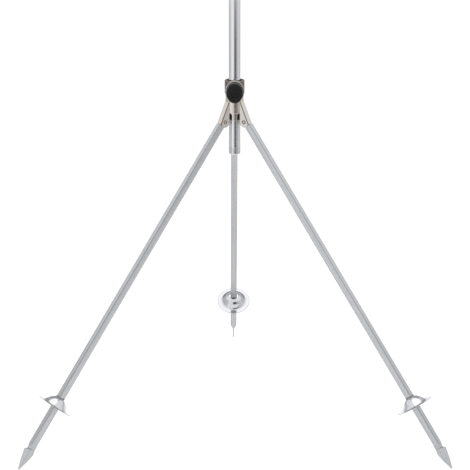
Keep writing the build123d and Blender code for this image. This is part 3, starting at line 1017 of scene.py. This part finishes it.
# the tube is carried down the leg: square, then pressed flat and wide, then drawn in to the point
def legTube(place):
    length, half = legs["length"], legs["tube"] / 2
    s = np.unique(
        np.concatenate(
            [
                np.linspace(leg["notch"], length - leg["pressStart"], 60),
                np.linspace(length - leg["pressStart"], length - leg["pressEnd"] - 2, 26),
                np.linspace(length - leg["pressEnd"] - 2, length - leg["pressEnd"] + 3, 14),
                np.linspace(length - leg["pressEnd"] + 3, length, 40),
            ]
        )
    )
    back = length - s
    pressed = ramp(s, length - leg["pressStart"], length - 49.5)
    thick = half + (leg["blade"] - half) * pressed
    # outer edge: a sudden shoulder; inner edge: a longer flare; both then run straight to the point
    tip, blade = leg["tip"], leg["bladeHalf"]
    outer = np.interp(back, [0, 22, 46.5, 49.3, 63], [tip, blade * 0.6, blade, half + 0.5, half])
    inner = np.interp(back, [0, 21, 39.5, 54, 63], [tip, blade * 0.65, blade, half + 3.2, half])
    corner = np.minimum(leg["corner"], np.minimum(thick, (outer + inner) / 2) * 0.8)
    corner = corner * (1 - pressed) + np.minimum(0.55, corner) * pressed
    x, y, mark = tubeSection(-inner, outer, thick, corner)
    # the painted corner reflection fades where the tube is pressed flat
    mark = mark * (1 - pressed[:, None] * 0.8)
    # a shallow crease down each pressed face, deepest where the press bites
    crease = np.exp(-(((back - 50) / 7.0) ** 2))[:, None] * np.exp(-((x - 1.5) / 3.0) ** 2)
    y = y - np.sign(y) * crease * np.minimum(1.1, thick * 0.5)[:, None]
    # painted shade: a dark pocket where the outer shoulder folds over
    pit = np.exp(-(((back[:, None] - 48.6) / 2.2) ** 2) - ((x - 6.3) / 1.8) ** 2)
    s2 = s[:, None] + 0 * x
    # closed end: the last row is drawn in to the section's middle
    x = np.concatenate([x, np.full((1, x.shape[1]), x[-1].mean())])
    y = np.concatenate([y, np.zeros((1, y.shape[1]))])
    s2 = np.concatenate([s2, s2[-1:]])
    mark, pit = np.concatenate([mark, mark[-1:]]), np.concatenate([pit, pit[-1:]])
    # the bore: the same section a wall further in, carried back up from the pressed end
    boreStations = np.linspace(length - leg["pressStart"] - 1, leg["notch"], 12)
    whole = np.full(12, half - leg["wall"])
    bx, by, _ = tubeSection(-whole, whole, whole, np.full(12, 0.4))
    bs = boreStations[:, None] + 0 * bx
    lid = 0 * bx[:1]
    x = np.concatenate([lid, bx, x])
    y = np.concatenate([lid, by, y])
    s2 = np.concatenate([bs[:1], bs, s2])
    blank = np.zeros((13, x.shape[1]))
    marks = {"corner": np.concatenate([blank, mark]), "pit": np.concatenate([blank, pit])}
    return Surface(place(x, y, s2), False, True, None, marks)


# the tongue between the fork's plates: inner wall and two sides, rounded about the rivet
def legTongue(place):
    inner = -legs["tube"] / 2
    nose = -leg["tongue"] * np.cos(np.linspace(0.06, math.pi / 2, 14))
    s = np.concatenate([nose, np.linspace(0.6, leg["notch"] + 0.4, 8)])
    chord = np.sqrt(np.maximum(leg["tongue"] ** 2 - np.minimum(s, 0) ** 2, 0))
    inwards = np.where(s < 0, -legs["offset"] - chord, inner)
    outwards = np.where(s < 0, -legs["offset"] + chord, legs["tube"] / 2 - leg["notchDepth"])
    outwards = np.minimum(outwards, legs["tube"] / 2 - leg["notchDepth"])
    inwards = np.maximum(inwards, inner)
    web, edge = np.stack([inwards, s], 1), np.stack([outwards, s], 1)
    edge[:, 0] = np.maximum(edge[:, 0], web[:, 0] + 1.6)
    return channel(web, edge, legs["tube"] / 2, leg["wall"], leg["corner"], place)


for sideName, azimuth in legs["azimuths"].items():
    place, body = downLeg(azimuth), f"leg_{sideName}"
    tubeAndTongue = [legTube(place), legTongue(place)]
    buildPiece(f"leg-{sideName}", tubeAndTongue, body, "legSteel", body, sharp=28)
print("legs made")

# sand discs, grommets and pins

disc = {
    "stations": {"left": 706.0, "right": 706.0, "rear": 698.5},
    "crown": 18.6,
    "top": 10.0,
    "sheet": 1.0,
    "radius": 40.0,
    "hole": 7.3,
    "tilts": {"left": 3.5, "right": -1.5, "rear": -3.0},
    "grommetLift": 0.8,
    "grommet": 2.6,
    "grommetWall": 0.8,
    "pin": 1.5,
    "pinLength": 20.0,
    "pinDrop": 5.0,
    "squareness": 7.5,
    "lip": 0.5,
}


# smooth curve through a few points: cubic pieces with end headings, sampled evenly
def smoothLine(points, startHeading, endHeading, steps):
    points = np.array(points, float)
    gaps = np.linalg.norm(np.diff(points, axis=0), axis=1)
    t = np.concatenate([[0], np.cumsum(gaps)])
    headings = np.gradient(points, t, axis=0)
    headings /= np.linalg.norm(headings, axis=1, keepdims=True)
    headings[0], headings[-1] = (np.array(h) / np.linalg.norm(h) for h in (startHeading, endHeading))
    at = np.linspace(0, t[-1], steps)
    k = np.clip(np.searchsorted(t, at, "right") - 1, 0, len(gaps) - 1)
    u = ((at - t[k]) / gaps[k])[:, None]
    g = gaps[k][:, None]
    a, b = points[k], points[k + 1]
    return (
        (2 * u**3 - 3 * u**2 + 1) * a
        + (u**3 - 2 * u**2 + u) * g * headings[k]
        + (3 * u**2 - 2 * u**3) * b
        + (u**3 - u**2) * g * headings[k + 1]
    )


def discSkins():
    brim = disc["crown"]
    dome = [(disc["top"], 0), (15.0, 2.7), (20.4, 7.8), (24.8, 13.4), (28.0, brim - 1.6)]
    dome = smoothLine(dome, (1, 0.05), (1, 0.9), 34)
    root = smoothLine([(28.0, brim - 1.6), (29.6, brim - 0.42), (31.5, brim)], (1, 0.9), (1, 0), 12)
    rim, half = disc["radius"] - disc["lip"], disc["sheet"] / 2
    flat = np.stack([np.linspace(32.1, rim, 10), np.full(10, brim)], 1)
    upper = np.concatenate([dome, root[1:], flat])
    along = np.gradient(upper, axis=0)
    along /= np.linalg.norm(along, axis=1, keepdims=True)
    lower = upper + np.stack([-along[:, 1], along[:, 0]], 1) * disc["sheet"]
    turn = np.linspace(-math.pi / 2, math.pi / 2, 9)[1:-1]
    lip = np.stack([rim + disc["lip"] * np.cos(turn), brim + half + half * np.sin(turn)], 1)
    return upper, lip, lower[::-1]


# hat surface: the profile turned about the tilted axis; inside the crown's edge the radius
# eases to a rounded square, which is the hole round the tube
def hatSurface(azimuth, crownStation, tilt):
    upper, lip, lower = discSkins()
    sides = 176
    a = np.arange(sides) * fullTurn / sides
    power = disc["squareness"]
    hole = disc["hole"] * (np.abs(np.cos(a)) ** power + np.abs(np.sin(a)) ** power) ** (-1 / power)
    blend = np.linspace(0, 1, 6)[:-1, None]
    topRadius = hole + (disc["top"] - hole) * blend
    ring = np.concatenate([upper, lip, lower])
    under = hole + (lower[-1, 0] - hole) * blend[::-1]
    r = np.concatenate([topRadius, ring[:, :1] + 0 * a, under])
    s = np.concatenate([0 * topRadius, ring[:, 1:] + 0 * a, 0 * under + disc["sheet"]])
    pivot, down, normal, across = legAxes(azimuth)
    centre = pivot + normal * legs["offset"] + down * crownStation
    c, k = math.cos(math.radians(tilt)), math.sin(math.radians(tilt))
    # the tilt turns the crown's own axes in the plane of the leg and the mast
    xAxis, sAxis = normal * c - down * k, down * c + normal * k
    x, y = r * np.cos(a), r * np.sin(a)
    points = (centre + xAxis * x[..., None] + across * y[..., None] + sAxis * s[..., None]) * mm
    # painted shade: darker at the rolled edge and in the root of the crown, a little darker and duller over
    # the brim between
    brim = np.clip((r - disc["radius"] + 1.3) / 0.7, 0, 1) + 0.5 * np.exp(-(((r - 31.2) / 0.8) ** 2))
    brim = np.minimum(1, brim + 0.22 * np.clip((r - 31.5) / 1.5, 0, 1))
    return Surface(points, True, True, None, {"brim": brim})


# square ring: a small rounded outline carried round a rounded square
def grommetRing(place, crownStation):
    half = legs["tube"] / 2
    outline = softOutline(
        [
            (0.02, 0.0, 0.2),
            (disc["grommetWall"], 0.0, 0.35),
            (disc["grommetWall"], -disc["grommet"], 0.5),
            (0.02, -disc["grommet"], 0.3),
        ],
        4,
    )
    quarter = np.linspace(0, math.pi / 2, 9)
    corner = 1.4
    base = crownStation - disc["grommetLift"]
    grow, s = outline[:, :1], outline[:, 1:2]
    x, y = [], []
    for k in range(4):
        angle = quarter + k * math.pi / 2
        sx, sy = (1, -1, -1, 1)[k], (1, 1, -1, -1)[k]
        x.append(sx * (half - corner) + (corner + grow) * np.cos(angle))
        y.append(sy * (half - corner) + (corner + grow) * np.sin(angle))
    x, y = np.concatenate(x, 1), np.concatenate(y, 1)
    return Surface(place(x, y, base + s + 0 * x), True, True)


pinOutline = softOutline(
    [
        (0, -disc["pinLength"] / 2),
        (disc["pin"], -disc["pinLength"] / 2, 0.4),
        (disc["pin"], disc["pinLength"] / 2, 0.4),
        (0, disc["pinLength"] / 2),
    ],
    4,
)
for sideName, azimuth in legs["azimuths"].items():
    place, body = downLeg(azimuth), f"leg_{sideName}"
    crownStation = disc["stations"][sideName] - disc["crown"]
    hat, ring = hatSurface(azimuth, crownStation, disc["tilts"][sideName]), grommetRing(place, crownStation)
    buildPiece(f"sandDisc-{sideName}", [hat], body, "discChrome", f"sand_disc_{sideName}")
    node = f"disc_grommet_{sideName}"
    buildPiece(f"discGrommet-{sideName}", [ring], body, "grommetRubber", node)

    def onPin(x, y, s, place=place, station=crownStation + disc["pinDrop"]):
        return place(x, s + 0 * x, station + y)

    name, node = f"discPin-{sideName}", f"disc_pin_{sideName}"
    buildTurned(name, pinOutline, 4, onPin, 32, body, "screwSteel", node)
print("discs made")

# floor, light and camera

studio = {
    "floorColour": (0.5, 0.5, 0.5),
    "floorGlow": 0.47,
    "sky": 1.12,
    "keyPower": 26.0,
    "sidePower": 2.0,
    "screenRadius": 1.85,
    "screenHeight": 2.6,
    "screenWhite": 1.4,
}


def makeFloor():
    p = Paint("floorPaper")
    p.set(Base_Color=studio["floorColour"], Roughness=0.9)
    p.set(Emission_Color=(1.0, 1.0, 1.0), Emission_Strength=studio["floorGlow"])
    span = np.linspace(-12, 12, 13)
    x, y = np.meshgrid(span, span, indexing="ij")
    mesh = bpy.data.meshes.new("floor")
    faces, _ = gridFaces(13, 13, False, False)
    mesh.from_pydata(np.stack([x, y, 0 * x], -1).reshape(-1, 3), [], faces.tolist())
    mesh.materials.append(p.material)
    added("floor", mesh)


# bell curve of an angle about a middle
def bell(angle, middle, width):
    return np.exp(-(((angle - middle) / width) ** 2))


# a round screen about the object, seen only in reflections: low down it has a dark sector beside the
# camera and a bright one to its left, higher up it is sky except behind the object, where it is grey
def makeScreen():
    p = Paint("screenCloth")
    p.set(Base_Color=(0.0, 0.0, 0.0), Roughness=1.0)
    white = (studio["screenWhite"],) * 3
    p.set(Emission_Color=p.blend(p.mark("glow"), (0, 0, 0), white), Emission_Strength=1.0)
    turn = np.linspace(-180, 180, 181)[:-1, None]
    z = np.linspace(0.0, studio["screenHeight"], 40)[None]
    low = 0.68 + 0.52 * bell(turn, -44, 30) + 0.16 * bell(turn, 95, 30)
    low = low * (1 - 0.9 * ramp(turn, -13, 2) * (1 - ramp(turn, 12, 62)))
    behind = ramp(np.abs(turn), 125, 155)
    high = studio["sky"] * (1 - behind) + 0.42 * behind
    glow = low + (high - low) * ramp(z, 0.55, 0.85)
    a, radius = np.radians(turn), studio["screenRadius"]
    points = np.stack([radius * np.sin(a) + 0 * z, -radius * np.cos(a) + 0 * z, z + 0 * a], -1)
    mesh = bpy.data.meshes.new("screen")
    faces, _ = gridFaces(180, 40, True, False)
    mesh.from_pydata(points.reshape(-1, 3), [], faces.tolist())
    field = mesh.attributes.new("glow", "FLOAT", "POINT")
    field.data.foreach_set("value", (glow / studio["screenWhite"]).ravel().astype(np.float32))
    mesh.materials.append(p.material)
    made = added("screen", mesh)
    made.visible_camera = False
    made.visible_diffuse = False
    made.visible_shadow = False


def makeLamp(name, where, aim, size, power):
    data = bpy.data.lights.new(name, "AREA")
    data.shape = "RECTANGLE"
    data.size, data.size_y = size
    data.energy = power
    lamp = added(name, data)
    lamp.location = where
    towards = np.array(aim, float) - np.array(where, float)
    lamp.rotation_mode = "QUATERNION"
    lamp.rotation_quaternion = Vector(towards).to_track_quat("-Z", "Y")


makeFloor()
makeScreen()
makeLamp("overhead", (0.0, 0.0, 4.2), (0, 0, 0), (4.0, 4.0), studio["keyPower"])
makeLamp("leftPanel", (-3.4, -1.2, 1.6), (0, 0, 0.6), (1.6, 2.6), studio["sidePower"])
makeLamp("rightPanel", (3.4, 0.6, 1.6), (0, 0, 0.6), (1.6, 2.6), studio["sidePower"])

world = bpy.data.worlds.new("studioRoom")
world.use_nodes = True
world.node_tree.nodes["Background"].inputs["Color"].default_value = (1.0, 1.0, 1.0, 1.0)
world.node_tree.nodes["Background"].inputs["Strength"].default_value = studio["sky"]
bpy.context.scene.world = world
bpy.context.scene.view_settings.view_transform = "Standard"

view = {"azimuth": -0.33, "elevation": 17.24, "distance": 3.754, "aim": (0.0009, 0.0, 0.4385), "lens": 130.67}


def makeCamera():
    a, e = math.radians(view["azimuth"]), math.radians(view["elevation"])
    back = np.array([math.sin(a) * math.cos(e), -math.cos(a) * math.cos(e), math.sin(e)])
    data = bpy.data.cameras.new("camera")
    data.lens = view["lens"]
    data.sensor_width = 36.0
    data.clip_start, data.clip_end = 0.05, 100.0
    made = added("camera", data)
    made.location = np.array(view["aim"]) + back * view["distance"]
    made.rotation_mode = "QUATERNION"
    made.rotation_quaternion = Vector(-back).to_track_quat("-Z", "Y")
    bpy.context.scene.camera = made


makeCamera()
print("studio made")
